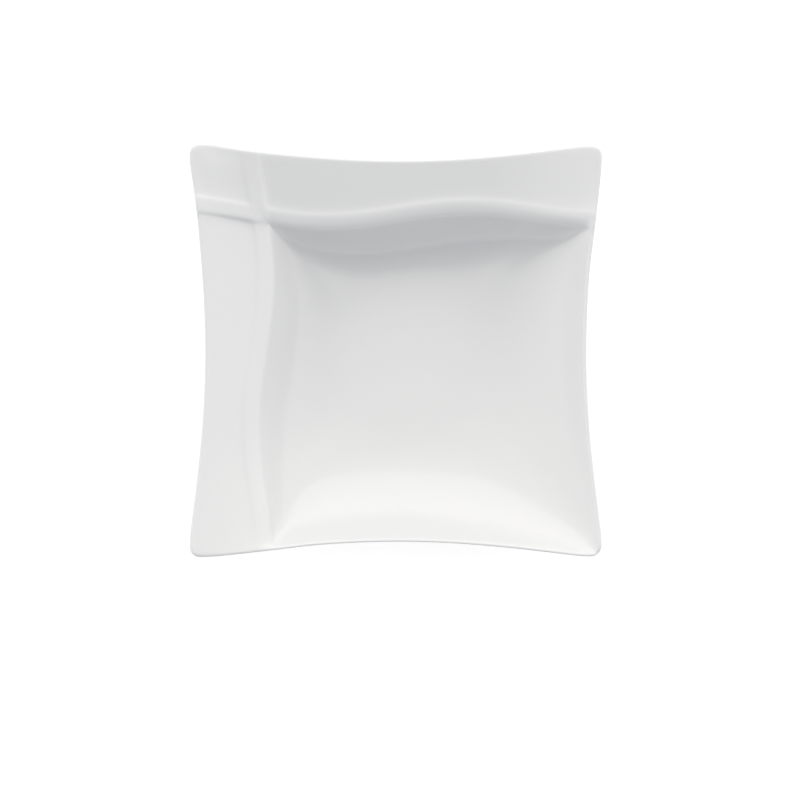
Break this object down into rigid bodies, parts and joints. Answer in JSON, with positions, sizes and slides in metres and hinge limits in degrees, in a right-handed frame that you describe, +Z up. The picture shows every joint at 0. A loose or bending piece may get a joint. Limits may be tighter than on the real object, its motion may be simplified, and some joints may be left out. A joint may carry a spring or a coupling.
{
  "type": "deep square plate",
  "caption": "Deep square porcelain plate with bowed sides, a sloping flange and raised wavy band on neighbouring sides, a soft round well and a bare foot ring to stand on.",
  "frame": {"origin": "centre of the plate's outline, on the plane that the foot ring stands on", "axes": "+Z up out of the well, +X to the right and +Y to the back, where the flanges lie at the left and at the back"},
  "size_m": [0.24, 0.24, 0.0633],
  "materials": {
    "porcelain": "fired white porcelain, hidden under the glaze",
    "glaze": "clear glaze over white porcelain, glossy and slightly uneven",
    "bare_foot": "unglazed porcelain, ground matt where it stands"
  },
  "bodies": {
    "root": {"porcelain_body": "porcelain", "glaze_coat": "glaze", "foot_ring": "bare_foot", "recess_glaze": "glaze"}
  },
  "joints": []
}
